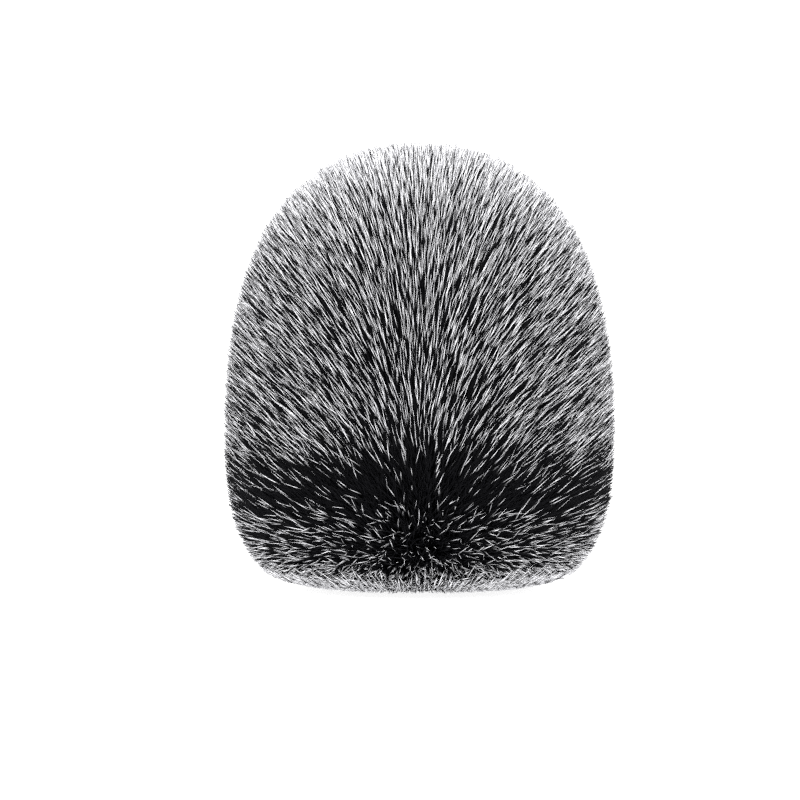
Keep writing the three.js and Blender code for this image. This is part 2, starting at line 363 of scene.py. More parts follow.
def crossed_threads():
    """Two sets of threads. A slant of 0 gives a plain knit or weave, and a slant of 1 gives twill."""
    group, given, out = effect_group(
        "crossed_threads",
        [("Vector", "Vector", None), ("Pitch", "Float", 0.001), ("Slant", "Float", 0.0)],
        [("Height", "Float"), ("Mottle", "Float")],
    )
    nodes, links = group.nodes, group.links
    split = nodes.new("ShaderNodeSeparateXYZ")
    links.new(given.outputs["Vector"], split.inputs[0])
    rate = placed(nodes, "ShaderNodeMath", operation="DIVIDE")
    rate.inputs[0].default_value = math.pi
    links.new(given.outputs["Pitch"], rate.inputs[1])
    leaned = placed(nodes, "ShaderNodeMath", operation="MULTIPLY_ADD")
    links.new(split.outputs["Y"], leaned.inputs[0])
    links.new(given.outputs["Slant"], leaned.inputs[1])
    links.new(split.outputs["X"], leaned.inputs[2])
    ridges = []
    for source in (leaned.outputs[0], split.outputs["Y"]):
        phase = placed(nodes, "ShaderNodeMath", operation="MULTIPLY")
        links.new(source, phase.inputs[0])
        links.new(rate.outputs[0], phase.inputs[1])
        wave = placed(nodes, "ShaderNodeMath", operation="SINE")
        links.new(phase.outputs[0], wave.inputs[0])
        ridge = placed(nodes, "ShaderNodeMath", operation="ABSOLUTE")
        links.new(wave.outputs[0], ridge.inputs[0])
        ridges.append(ridge)
    top = placed(nodes, "ShaderNodeMath", operation="MAXIMUM")
    for ridge, socket in zip(ridges, top.inputs):
        links.new(ridge.outputs[0], socket)
    mottle = placed(nodes, "ShaderNodeTexNoise", Scale=400.0, Detail=2.0)
    links.new(given.outputs["Vector"], mottle.inputs["Vector"])
    links.new(top.outputs[0], out.inputs["Height"])
    links.new(mottle.outputs["Fac"], out.inputs["Mottle"])
    return group


wrapped = round_the_oval()
threads = crossed_threads()


def cloth_material(name, dark, light, pitch, slant, relief, girth=None):
    """A cloth. With a girth it is wrapped round the oval, and without one it follows its own map. Its
    colour is painted shade between the threads, rising to its own colour on them, with a random mottle.
    """
    made, nodes, links, shader = new_material(name, CLOTH_ROUGHNESS)
    place = nodes.new("ShaderNodeTexCoord")
    weave = placed(nodes, "ShaderNodeGroup", node_tree=threads, Pitch=pitch, Slant=slant)
    if girth is None:
        links.new(place.outputs["UV"], weave.inputs["Vector"])
    else:
        wrap = placed(nodes, "ShaderNodeGroup", node_tree=wrapped, Girth=round(girth / pitch) * pitch)
        links.new(place.outputs["Object"], wrap.inputs["Vector"])
        links.new(wrap.outputs["Vector"], weave.inputs["Vector"])
    shade = placed(nodes, "ShaderNodeMath", operation="MULTIPLY")
    links.new(weave.outputs["Height"], shade.inputs[0])
    links.new(weave.outputs["Mottle"], shade.inputs[1])
    # Painted shade: the colour darkens with the weave's height into the gaps between the threads.
    tinted(nodes, links, shade.outputs[0], dark, light, shader)
    raised(nodes, links, weave.outputs["Height"], relief, shader)
    return made


# From painted shade between the threads to the mesh's own grey on them.
mesh_cloth = cloth_material(
    "knitted_mesh", (0.003, 0.003, 0.004), (0.13, 0.13, 0.14),
    pitch=0.0014, slant=0, relief=0.0005, girth=0.19,
)


def lining_piece(name, node, rows, crown=None):
    piece = swept_oval(name, rows, crown=crown)
    finished(piece, "SOLIDIFY", thickness=LINING, offset=-1, use_even_offset=True)
    piece.data.materials.append(mesh_cloth)
    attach(piece, "foam_insert")
    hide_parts(node)


tube_low, tube_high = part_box("lining_tube")
lining_piece(
    "knitted_tube", "lining_tube", layer_rows(LINING_OUTSIDE, tube_low.z, tube_high.z),
)
lining_piece(
    "knitted_crown", "lining_crown", layer_rows(LINING_OUTSIDE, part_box("lining_crown")[0].z),
    crown=HEIGHT - LINING_OUTSIDE,
)

# --------------------------------------------------------------------
# Mouth binding: black bias tape, folded over the edge of the foam's mouth and sewn through the foam.
# --------------------------------------------------------------------

BINDING = 0.00085
BINDING_LAP = 0.0025
BINDING_FOLD = 0.0010  # radius at which the tape turns over the edge
FOLD_STEPS = 6
NARROW_AROUND = 160  # sides of the narrow rings round the mouth and neck
TAPE_PAINTED_SHADE_AND_THREAD = ((0.006, 0.006, 0.007), (0.05, 0.05, 0.055))  # painted shade between the threads, and the thread colour on them
TAPE_PITCH = 0.0009
TAPE_RELIEF = 0.0003


def folded_over(low, high, fold, lap):
    """(outset, height) points of tape folded round an edge: under it, up inside and out over it."""
    points = [(lap, low)]
    for i in range(FOLD_STEPS + 1):
        turn = math.pi / 2 * i / FOLD_STEPS
        points.append((-fold * math.sin(turn), low + fold * (1 - math.cos(turn))))
    for i in range(FOLD_STEPS + 1):
        turn = math.pi / 2 * i / FOLD_STEPS
        points.append((-fold * math.cos(turn), high - fold * (1 - math.sin(turn))))
    return points + [(lap, high)]


def twill(name, girth=None):
    """Black twill tape."""
    return cloth_material(name, *TAPE_PAINTED_SHADE_AND_THREAD, pitch=TAPE_PITCH, slant=1, relief=TAPE_RELIEF, girth=girth)


binding_low, binding_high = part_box("mouth_binding")
binding_points = folded_over(
    binding_low.z + BINDING / 2, binding_high.z - BINDING / 2, BINDING_FOLD, BINDING_LAP - BINDING / 2
)
binding_rows = [(MOUTH_HALF_WIDTH + out, MOUTH_HALF_DEPTH + out, height) for out, height in binding_points]
bias_tape = swept_oval("bias_tape", binding_rows, around=NARROW_AROUND)
finished(bias_tape, "SOLIDIFY", thickness=BINDING, offset=0, use_even_offset=True)
bpy.ops.object.shade_smooth_by_angle(angle=math.radians(50))
bias_tape.data.materials.append(twill("bias_twill", girth=0.18))
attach(bias_tape, "foam_insert")
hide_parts("mouth_binding")

# --------------------------------------------------------------------
# Mouth stitching: a row of lockstitches in polyester thread, through the binding and the foam.
# --------------------------------------------------------------------

THREAD_RADIUS = 0.0003
STITCH = 0.0026
STITCH_PITCH = 0.0032
OVAL_SAMPLES = 2001
STEP_AHEAD = 1e-4


def thread_material():
    """Twisted black thread: fine plies across each stitch."""
    made, nodes, links, shader = new_material("polyester_thread", 0.5)
    place = nodes.new("ShaderNodeTexCoord")
    plies = placed(nodes, "ShaderNodeTexNoise", Scale=2500.0, Detail=2.0)
    links.new(place.outputs["Object"], plies.inputs["Vector"])
    tinted(nodes, links, plies.outputs["Fac"], (0.01, 0.01, 0.011), (0.11, 0.11, 0.12), shader)
    raised(nodes, links, plies.outputs["Fac"], 0.0001, shader)
    return made


thread_finish = thread_material()


def one_stitch():
    """A stitch along X, one unit long and one unit in radius, that dips at both ends."""
    bpy.ops.mesh.primitive_uv_sphere_add(segments=8, ring_count=6, radius=1, location=(0, 0, 0))
    stitch = bpy.context.object
    stitch.scale = (1, 1, 0.5)
    stitch.rotation_euler = (0, math.pi / 2, 0)
    bpy.ops.object.transform_apply(location=True, rotation=True, scale=True)
    return stitch


def oval_points(half_width, half_depth, pitch):
    """Evenly spaced points round an oval, and the way on at each."""
    angle = np.linspace(0, 2 * np.pi, OVAL_SAMPLES)
    x, y = np.cos(angle), np.sin(angle)
    corner = (np.abs(x) ** SQUARENESS + np.abs(y) ** SQUARENESS) ** (-1 / SQUARENESS)
    x, y = x * corner * half_width, y * corner * half_depth
    run = np.concatenate([[0], np.cumsum(np.hypot(np.diff(x), np.diff(y)))])
    count = round(run[-1] / pitch)
    stops = np.arange(count) / count * run[-1]
    places = np.stack([np.interp(stops, run, x), np.interp(stops, run, y)], 1)
    further = stops + STEP_AHEAD
    ahead = np.stack([np.interp(further, run, x), np.interp(further, run, y)], 1) - places
    return places, ahead / np.linalg.norm(ahead, axis=1, keepdims=True)


def stitch_row(name, node, body, half_width, half_depth, height, slope=0.0):
    """Stitches round an oval, each copied from one. A slope sets them askew, as whip stitches are."""
    stitch = one_stitch()
    points = np.array([v.co for v in stitch.data.vertices]) * (STITCH, THREAD_RADIUS, THREAD_RADIUS)
    faces = [tuple(p.vertices) for p in stitch.data.polygons]
    bpy.data.objects.remove(stitch)
    vertices, polygons = [], []
    for place, ahead in zip(*oval_points(half_width, half_depth, STITCH_PITCH)):
        start = len(vertices)
        along = Vector((ahead[0], ahead[1], slope)).normalized()
        out = Vector((ahead[1], -ahead[0], 0))
        up = along.cross(out)
        middle = Vector((*place, height))
        vertices += [middle + along * x + out * y + up * z for x, y, z in points]
        polygons += [tuple(start + corner for corner in face) for face in faces]
    mesh = bpy.data.meshes.new(name)
    mesh.from_pydata(vertices, [], polygons)
    row = bpy.data.objects.new(name, mesh)
    bpy.context.scene.collection.objects.link(row)
    pick(row)
    face_outwards()
    bpy.ops.object.shade_smooth_by_angle(angle=math.radians(80))
    mesh.materials.append(thread_finish)
    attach(row, body)
    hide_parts(node)


def ring_middle(node):
    """The half-width, half-depth and height of the middle of a thin ring of thread."""
    low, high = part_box(node)
    return high.x - THREAD_RADIUS, high.y - THREAD_RADIUS, (low.z + high.z) / 2


stitch_row("mouth_lockstitches", "mouth_stitching", "foam_insert", *ring_middle("mouth_stitching"))

# --------------------------------------------------------------------
# Backing of the gores: black knitted cloth that carries the pile. Four gores are sewn from crown to
# hem, and curl under at the foot.
# --------------------------------------------------------------------

PILE_DEPTH = 0.0175
BACKING = 0.0013
HEM_CURL = 0.010
HEM_FLOOR = 0.004  # height of the underside of the backing
SEAM = 0.0003
SEAM_TURN = math.radians(21)  # where the gores meet the gusset, round the curl

KNIT_WIDTH = HALF_WIDTH - PILE_DEPTH
KNIT_DEPTH = HALF_DEPTH - PILE_DEPTH


def curl_rows(first, last, steps):
    """Rows round the curl of the hem, from one turn under the cover to another."""
    rows = []
    for i in range(steps):
        turn = first + (last - first) * i / steps
        inset = HEM_CURL * (1 - math.cos(turn))
        height = HEM_FLOOR + HEM_CURL * (1 - math.sin(turn))
        rows.append((KNIT_WIDTH - inset, KNIT_DEPTH - inset, height))
    return rows


# From painted shade between the threads to the backing's own black on them.
knit_cloth = cloth_material(
    "knitted_backing", (0.004, 0.004, 0.005), (0.035, 0.035, 0.038),
    pitch=0.0016, slant=0, relief=0.0004, girth=0.27,
)

gore_rows = curl_rows(SEAM_TURN, 0, 3) + layer_rows(PILE_DEPTH, HEM_FLOOR + HEM_CURL)
gore_skin = swept_oval("gore_skin", gore_rows, crown=HEIGHT - PILE_DEPTH)


def gore_backing(name, node, side_x, side_y):
    """One quarter of the dome, cut along the seams."""
    piece = gore_skin.copy()
    piece.data = gore_skin.data.copy()
    piece.name = piece.data.name = name
    bpy.context.scene.collection.objects.link(piece)
    pick(piece)
    bpy.ops.object.mode_set(mode="EDIT")
    for outward in ((side_x, 0, 0), (0, side_y, 0)):
        bpy.ops.mesh.select_all(action="SELECT")
        edge = tuple(SEAM / 2 * part for part in outward)
        bpy.ops.mesh.bisect(plane_co=edge, plane_no=outward, clear_inner=True)
    bpy.ops.object.mode_set(mode="OBJECT")
    finished(piece, "SOLIDIFY", thickness=BACKING, offset=-1, use_even_offset=True)
    piece.data.materials.append(knit_cloth)
    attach(piece, "fur_cover")
    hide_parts(node)


QUARTERS = [(depth, width) for depth in ("front", "back") for width in ("left", "right")]
SIDES = {"front": -1, "back": 1, "left": -1, "right": 1}
for depth, width in QUARTERS:
    gore_backing(f"gore_backing_{depth}_{width}", f"fur_gore_{depth}_{width}", SIDES[width], SIDES[depth])

# --------------------------------------------------------------------
# Backing of the base gusset: the ring of the same fur that closes the cover underneath.
# --------------------------------------------------------------------

NECK_OUTSIDE = (0.0346, 0.0246)
SEAM_GAP = 0.03  # turn round the curl that is left to the seam

gusset_rows = [(*NECK_OUTSIDE, HEM_FLOOR)] + curl_rows(math.pi / 2, SEAM_TURN + SEAM_GAP, 8)
gusset_skin = swept_oval("gusset_backing", gusset_rows)
gusset_backing = gusset_skin.copy()
gusset_backing.data = gusset_skin.data.copy()
gusset_skin.name = "gusset_skin"
gusset_backing.name = "gusset_backing"
bpy.context.scene.collection.objects.link(gusset_backing)
finished(gusset_backing, "SOLIDIFY", thickness=BACKING, offset=-1, use_even_offset=True)
gusset_backing.data.materials.append(knit_cloth)
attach(gusset_backing, "fur_cover")
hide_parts("base_gusset")

stitch_row(
    "gusset_whip_stitches", "gusset_stitching", "fur_cover", *ring_middle("gusset_stitching"), slope=0.18
)

# --------------------------------------------------------------------
# Seam tapes and crown patch: twill tape sewn over the seams inside the cover, and a round patch where
# the four of them meet.
# --------------------------------------------------------------------

TAPE_OUTSIDE = 0.01915
TAPE = 0.00085
TAPE_WIDTH = 0.008
TAPE_WEAVE_LENGTH = 0.14  # length of cloth that the weave is laid out over
TAPE_UPRIGHT = 0.35  # share of the tape that runs up the straight wall
TAPE_COLUMNS = 6
TAPE_ROWS = 48
PATCH_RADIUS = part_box("crown_patch")[1].x
PATCH_GAP = 0.00035
PATCH_AROUND = 48
SEAMS = {"front": (0, -1), "back": (0, 1), "left": (-1, 0), "right": (1, 0)}

tape_cloth = twill("twill_tape")


def across_oval(half, other, offset):
    """How far out an oval reaches at a sideways offset from its axis."""
    return half * max(0.0, 1 - (abs(offset) / other) ** SQUARENESS) ** (1 / SQUARENESS)


def finish_tape(piece, node):
    finished(piece, "SOLIDIFY", thickness=TAPE, offset=-1, use_even_offset=True)
    bpy.ops.object.shade_smooth_by_angle(angle=SMOOTH_UNDER)
    piece.data.materials.append(tape_cloth)
    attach(piece, "fur_cover")
    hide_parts(node)


def seam_tape(name, node, towards_x, towards_y):
    """A grid laid along the seam: its columns cross the tape, and its rows climb to the crown patch."""
    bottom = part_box(node)[0].z
    width, depth, crown = HALF_WIDTH - TAPE_OUTSIDE, HALF_DEPTH - TAPE_OUTSIDE, HEIGHT - TAPE_OUTSIDE
    reach_out = abs(towards_x) * width + abs(towards_y) * depth
    last = math.acos(((PATCH_RADIUS + PATCH_GAP) / reach_out) ** (DOME_ROUND / 2))
    bpy.ops.mesh.primitive_grid_add(x_subdivisions=TAPE_COLUMNS, y_subdivisions=TAPE_ROWS, size=1)
    piece = bpy.context.object
    piece.name = piece.data.name = name
    for vertex in piece.data.vertices:
        offset, run = vertex.co.x * TAPE_WIDTH, vertex.co.y + 0.5
        turn = max(0.0, (run - TAPE_UPRIGHT) / (1 - TAPE_UPRIGHT)) * last
        share = math.cos(turn) ** (2 / DOME_ROUND)
        height = BELLY + (crown - BELLY) * math.sin(turn) ** (2 / DOME_RISE)
        if run < TAPE_UPRIGHT:
            height = bottom + (BELLY - bottom) * run / TAPE_UPRIGHT
        if towards_y:
            out = across_oval(depth * share, width * share, offset)
            vertex.co = (offset, towards_y * out, height)
        else:
            out = across_oval(width * share, depth * share, offset)
            vertex.co = (towards_x * out, offset, height)
    for corner in piece.data.uv_layers[0].data:
        corner.uv = (corner.uv.x * TAPE_WIDTH, corner.uv.y * TAPE_WEAVE_LENGTH)
    face_outwards()
    middle = piece.data.polygons[len(piece.data.polygons) // 4]
    if middle.normal.x * towards_x + middle.normal.y * towards_y < 0:
        piece.data.flip_normals()
    finish_tape(piece, node)


for side, (towards_x, towards_y) in SEAMS.items():
    seam_tape(f"twill_tape_{side}", f"seam_tape_{side}", towards_x, towards_y)

bpy.ops.mesh.primitive_circle_add(vertices=PATCH_AROUND, radius=PATCH_RADIUS, location=(0, 0, 0))
patch = bpy.context.object
patch.name = patch.data.name = "round_twill_patch"
bpy.ops.object.mode_set(mode="EDIT")
bpy.ops.mesh.select_all(action="SELECT")
for shrink in (0.8, 0.75, 2 / 3, 0.5):
    bpy.ops.mesh.extrude_region_move(TRANSFORM_OT_translate={"value": (0, 0, 0)})
    bpy.ops.transform.resize(value=(shrink, shrink, 1), center_override=(0, 0, 0))
draw_together(0)
bpy.ops.object.mode_set(mode="OBJECT")
patch_map = patch.data.uv_layers.new(name="patch_map")
for corner, loop in zip(patch_map.data, patch.data.loops):
    corner.uv = patch.data.vertices[loop.vertex_index].co.xy
for vertex in patch.data.vertices:
    x, y = abs(vertex.co.x) / (HALF_WIDTH - TAPE_OUTSIDE), abs(vertex.co.y) / (HALF_DEPTH - TAPE_OUTSIDE)
    share = (x**SQUARENESS + y**SQUARENESS) ** (1 / SQUARENESS)
    rise = (1 - share**DOME_ROUND) ** (1 / DOME_RISE)
    vertex.co.z = BELLY + (HEIGHT - TAPE_OUTSIDE - BELLY) * rise
face_outwards()
if patch.data.polygons[0].normal.z < 0:
    patch.data.flip_normals()
finish_tape(patch, "crown_patch")

# --------------------------------------------------------------------
# Neck: a casing of folded tape, gathered by the woven elastic inside it and closed by a row of stitches.
# --------------------------------------------------------------------

NECK_INSIDE = (0.030, 0.020)  # half-width and half-depth when relaxed
CASING = 0.0009
WALL_MIDDLE = CASING / 2
NECK = (NECK_INSIDE[0] + WALL_MIDDLE, NECK_INSIDE[1] + WALL_MIDDLE)
GATHERS = 54
GATHER_DEPTH = 0.00032
GATHER_STEPS = 8
BUNCHING = 1.7  # how far the gathers bunch up and spread,
BUNCHES = 5  # and at how many places round the neck
ELASTIC = 0.0014
ELASTIC_EDGE = 0.0004

neck_low, neck_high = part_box("neck_casing")
channel = neck_high.x - NECK_INSIDE[0] - CASING  # between the middles of the two walls
casing_section = [
    (channel * 0.66, neck_high.z - 0.0002),
    (channel * 0.70, neck_high.z - 0.0010),
    (channel * 0.96, neck_high.z - 0.0024),
    (channel, neck_high.z - 0.0045),
    (channel, neck_low.z + 0.0040),
    (channel * 0.97, neck_low.z + 0.0018),
    (channel * 0.80, neck_low.z + 0.0007),
    (channel * 0.50, neck_low.z + WALL_MIDDLE),
    (channel * 0.20, neck_low.z + 0.0007),
    (channel * 0.03, neck_low.z + 0.0018),
    (0, neck_low.z + 0.0040),
    (0, neck_high.z - 0.0045),
    (channel * 0.04, neck_high.z - 0.0024),
    (channel * 0.30, neck_high.z - 0.0010),
    (channel * 0.34, neck_high.z - 0.0002),
]
casing_rows = [(NECK[0] + out, NECK[1] + out, height) for out, height in casing_section]
casing = swept_oval("gathered_casing", casing_rows, around=GATHERS * GATHER_STEPS)
for vertex in casing.data.vertices:
    x, y, height = vertex.co
    bearing = math.atan2(y / NECK[1], x / NECK[0])
    climbed = (height - neck_low.z) / (neck_high.z - neck_low.z)
    fullness = math.sin(math.pi * min(1, max(0, climbed))) ** 0.5
    outer = math.hypot(x / (NECK[0] + channel / 2), y / (NECK[1] + channel / 2)) > 1
    ripple = GATHER_DEPTH * fullness * math.sin(GATHERS * bearing + BUNCHING * math.sin(BUNCHES * bearing))
    stretch = 1 + (ripple if outer else -abs(ripple)) / math.hypot(x, y)
    vertex.co = (x * stretch, y * stretch, height)
finished(casing, "SOLIDIFY", thickness=CASING, offset=0, use_even_offset=True)
bpy.ops.object.shade_smooth_by_angle(angle=math.radians(60))
casing.data.materials.append(twill("casing_twill", girth=0.17))
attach(casing, "fur_cover")
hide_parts("neck_casing")

elastic_low, elastic_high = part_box("neck_elastic")
elastic_out = (elastic_high.x, elastic_high.y)
elastic_in = (elastic_high.x - ELASTIC, elastic_high.y - ELASTIC)
elastic_rows = [
    (*elastic_out, elastic_low.z + ELASTIC_EDGE),
    (*elastic_out, elastic_high.z - ELASTIC_EDGE),
    (elastic_out[0] - ELASTIC / 2, elastic_out[1] - ELASTIC / 2, elastic_high.z),
    (*elastic_in, elastic_high.z - ELASTIC_EDGE),
    (*elastic_in, elastic_low.z + ELASTIC_EDGE),
    (elastic_out[0] - ELASTIC / 2, elastic_out[1] - ELASTIC / 2, elastic_low.z),
]
elastic = swept_oval("woven_elastic", elastic_rows + elastic_rows[:1], around=NARROW_AROUND)
# From painted shade between the ribs to the elastic's own black on them.
elastic.data.materials.append(
    cloth_material(
        "ribbed_elastic", (0.008, 0.008, 0.009), (0.07, 0.07, 0.075),
        pitch=0.0011, slant=0, relief=0.0003, girth=0.17,
    )
)
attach(elastic, "fur_cover")
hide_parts("neck_elastic")

stitch_row("casing_lockstitches", "casing_stitching", "fur_cover", *ring_middle("casing_stitching"))

# --------------------------------------------------------------------
# Pile: locks of long acrylic fibre, black with silver tips, knitted into the backing and brushed up and
# away from the middle seams. One lock is modelled, and every other is a copy, bent to its own line.
# --------------------------------------------------------------------

LOCKS_PER_SQUARE_METRE = 4.9e6
LOCK_RADIUS = 0.000155
LOCK_GIRTHS = (0.7, 1.3)
SHAFT = 0.76  # share of a lock's length that is shaft, before it tapers to its tip
SILVER_FINER = 0.85
LONGEST = 0.030
SHORTEST = 0.004
ROOT_JITTER = 0.03
REACH_STEPS = 14
FOOT = 0.71  # the foot's width as a share of the widest section
FOOT_CURVE = 3.2
FOOT_ROUND = 0.009  # height under which the foot rounds in
FOOT_TUCK = 0.32
GROUND = 0.0004  # the pile keeps this far above the ground,
GROUND_SPREAD = 0.006  # and up to this much more, lock by lock
GROUND_RUN = 0.010  # length over which a lock levels off there
TIP_GROUND = 0.0003

STANDING = 0.80  # how much of a lock's line stands square to the backing
BRUSHED = 0.66  # and how much of it follows the brush
BRUSH_HEIGHTS = (0.004, 0.008, 0.012, 0.016, 0.021, 0.029, 0.038)
BRUSH_UP = (-0.90, -0.70, -0.30, 0.15, 0.55, 0.85, 1.0)
BRUSH_OUT = 0.87  # sideways, against one upwards
SIDES_LESS_DOWN = 0.8  # how much less the sides are brushed down than the middle
PARTING_HEIGHTS = (0.015, 0.040, 0.100)
PARTING_WIDTHS = (0.009, 0.015, 0.026)  # how soon the brush turns outwards beside the parting
UNRULY = 0.085  # how far a lock strays from its brushed line
LEAST_OUTWARDS = 0.2  # no lock lies flatter than this
TOUSLED = 0.60  # how much more unruly the pile is low in the middle
TOUSLED_HEIGHT = 0.042
TOUSLED_WIDTH = 0.050
TOUSLED_SHORTER = 0.4
TUFT = 6  # locks to a tuft
TUFT_PULL = 0.12  # how far their tips are drawn together
BEND_AT = 0.45  # share of the length at which a lock bends
BEND_SQUARE = 0.6  # up to there it stands this much square to the backing,
BEND_ALONG = 0.4  # and follows its own line this much

SILVER_HEIGHTS = (
    0.002, 0.006, 0.009, 0.013, 0.020, 0.031, 0.036, 0.044,
    0.049, 0.055, 0.063, 0.090, 0.105, 0.120, 0.129, 0.138,
)
# Besides the pile's own mix of black and silver, these shares paint light and shade: the dip from 31 to 49
# mm is painted shade, where the locks point at the camera and their black roots show, and the rise towards
# the crown and at the foot is painted light from the lamp overhead and the white floor.
SILVER_SHARES_WITH_PAINTED_SHADING = (  # of silver locks, by the height of their tips
    0.95, 0.82, 0.33, 0.20, 0.17, 0.14, 0.04, 0.03,
    0.05, 0.095, 0.125, 0.135, 0.15, 0.185, 0.235, 0.34,
)
SILVER_LENGTHS = (0.94, 1.07)
BLACK_LENGTHS = (0.78, 1.01)
SILVER_TONES = (0.6, 1)
BLACK_TONES = (0, 0.4)
FROSTING = (0.85, 1)  # how much of its silver end a lock shows
TOUSLED_PAINTED_SHADE = 0.20  # and how much less where the pile is tousled: painted shade low in the middle, where the locks point at the camera
SHADE_DROP = 0.006  # how much lower the band of painted shade ends at the sides
SHADE_FLOOR = 0.020  # under this height it doesn't
SIDE = 0.039
SIDE_BAND = 0.02
SIDE_PAINTED_SHADE = 0.2  # how much less silver the sides have: painted shade where the tips are seen edge on
SILVER_CELL = 0.0012  # silver locks are shared out evenly over cells of this size
SPREAD = (0.7548776662, 0.5698402910)  # steps that fill a square evenly
GOLDEN = 0.6180339887
FIBRE_BLACK = (0.004, 0.004, 0.005, 1)
FIBRE_SILVER = (0.74, 0.74, 0.77, 1)
FIBRE_WHITE = (0.93, 0.93, 0.95, 1)
PILE_MAP = "OFBake"

draws = np.random.default_rng(7)


def one_lock():
    """A three-sided lock, one unit long: a ring at the root, a ring on the shaft, and a pointed tip."""
    bpy.ops.mesh.primitive_circle_add(vertices=3, radius=1, fill_type="NGON", location=(0, 0, 0))
    lock = bpy.context.object
    bpy.ops.object.mode_set(mode="EDIT")
    bpy.ops.mesh.select_all(action="SELECT")
    bpy.ops.mesh.extrude_region_move(TRANSFORM_OT_translate={"value": (0, 0, SHAFT)})
    bpy.ops.mesh.extrude_region_move(TRANSFORM_OT_translate={"value": (0, 0, 1 - SHAFT)})
    bpy.ops.mesh.merge(type="CENTER")
    face_outwards()
    return lock


lock = one_lock()
lock_points = np.array([v.co for v in lock.data.vertices])
lock_faces = [list(p.vertices) for p in lock.data.polygons]
bpy.data.objects.remove(lock)


def unit(vectors):
    return vectors / np.maximum(np.linalg.norm(vectors, axis=1, keepdims=True), 1e-12)


def roots_on(skin):
    """Evenly spread roots on a skin, with its normals there."""
    skin.data.calc_loop_triangles()
    corners = np.array([triangle.vertices for triangle in skin.data.loop_triangles])
    places = np.array([v.co for v in skin.data.vertices])
    normals = np.array([v.normal for v in skin.data.vertices])
    a, b, c = (places[corners[:, i]] for i in range(3))
    edges = np.cumsum(np.linalg.norm(np.cross(b - a, c - a), axis=1) / 2)
    count = int(edges[-1] * LOCKS_PER_SQUARE_METRE)
    order = np.arange(count)
    chosen = np.minimum(np.searchsorted(edges, (order + 0.5) / count * edges[-1]), len(edges) - 1)
    u = (order * SPREAD[0] + draws.normal(0, ROOT_JITTER, count)) % 1
    v = (order * SPREAD[1] + draws.normal(0, ROOT_JITTER, count)) % 1
    over = u + v > 1
    u[over], v[over] = 1 - u[over], 1 - v[over]
    weights = np.stack([1 - u - v, u, v], 1)[:, :, None]
    triangle = corners[chosen]
    return (places[triangle] * weights).sum(1), unit((normals[triangle] * weights).sum(1))


def pile_share(heights):
    """Width of the brushed outline at these heights, as a share of the widest section."""
    up = np.clip((heights - BELLY) / (HEIGHT - BELLY), 0, 1) ** (DOME_RISE / 2)
    above = np.sqrt(np.clip(1 - up**2, 0, 1)) ** (2 / DOME_ROUND)
    down = np.clip((BELLY - heights) / BELLY, 0, 1)
    tuck = 1 - FOOT_TUCK * np.clip((FOOT_ROUND - heights) / FOOT_ROUND, 0, 1) ** 2
    return above * (1 - (1 - FOOT) * down**FOOT_CURVE) * tuck


def inside_pile(points, floor):
    x, y = np.abs(points[:, 0]) / HALF_WIDTH, np.abs(points[:, 1]) / HALF_DEPTH
    radius = (x**SQUARENESS + y**SQUARENESS) ** (1 / SQUARENESS)
    return (radius < pile_share(points[:, 2])) & (points[:, 2] < HEIGHT) & (points[:, 2] > floor)


def reach(roots, lines, floor):
    """How far each root's line runs before it leaves the brushed outline."""
    near, far = np.zeros(len(roots)), np.full(len(roots), LONGEST)
    for _ in range(REACH_STEPS):
        middle = (near + far) / 2
        within = inside_pile(roots + lines * middle[:, None], floor)
        near, far = np.where(within, middle, near), np.where(within, far, middle)
    return near


def brushed(roots, normals):
    """The way each lock is brushed, along the backing."""
    x, z = roots[:, 0], roots[:, 2]
    parting = np.interp(z, PARTING_HEIGHTS, PARTING_WIDTHS)
    aside = np.tanh(np.abs(x) / parting)
    up = np.interp(z, BRUSH_HEIGHTS, BRUSH_UP)
    sideways = np.clip(np.abs(x) / KNIT_WIDTH, 0, 1) ** 2
    up = np.where(up < 0, up * (1 - SIDES_LESS_DOWN * sideways), up)
    brush = np.stack([np.sign(x) * aside * BRUSH_OUT, np.zeros(len(x)), up], 1)
    brush /= np.maximum(1, np.linalg.norm(brush, axis=1, keepdims=True))
    under = np.clip(-normals[:, 2], 0, 1)[:, None]
    outwards = unit(roots * (1, 1, 0))
    brush = brush * (1 - under) + outwards * under
    return brush - normals * (brush * normals).sum(1, keepdims=True)


def gathered(tips, size):
    """For each tip, the number of the neighbour whose tip leads its tuft."""
    leaders = draws.choice(len(tips), max(1, len(tips) // size), replace=False)
    tree = kdtree.KDTree(len(leaders))
    for i, leader in enumerate(leaders):
        tree.insert(tips[leader], i)
    tree.balance()
    return leaders[[tree.find(tip)[1] for tip in tips]]


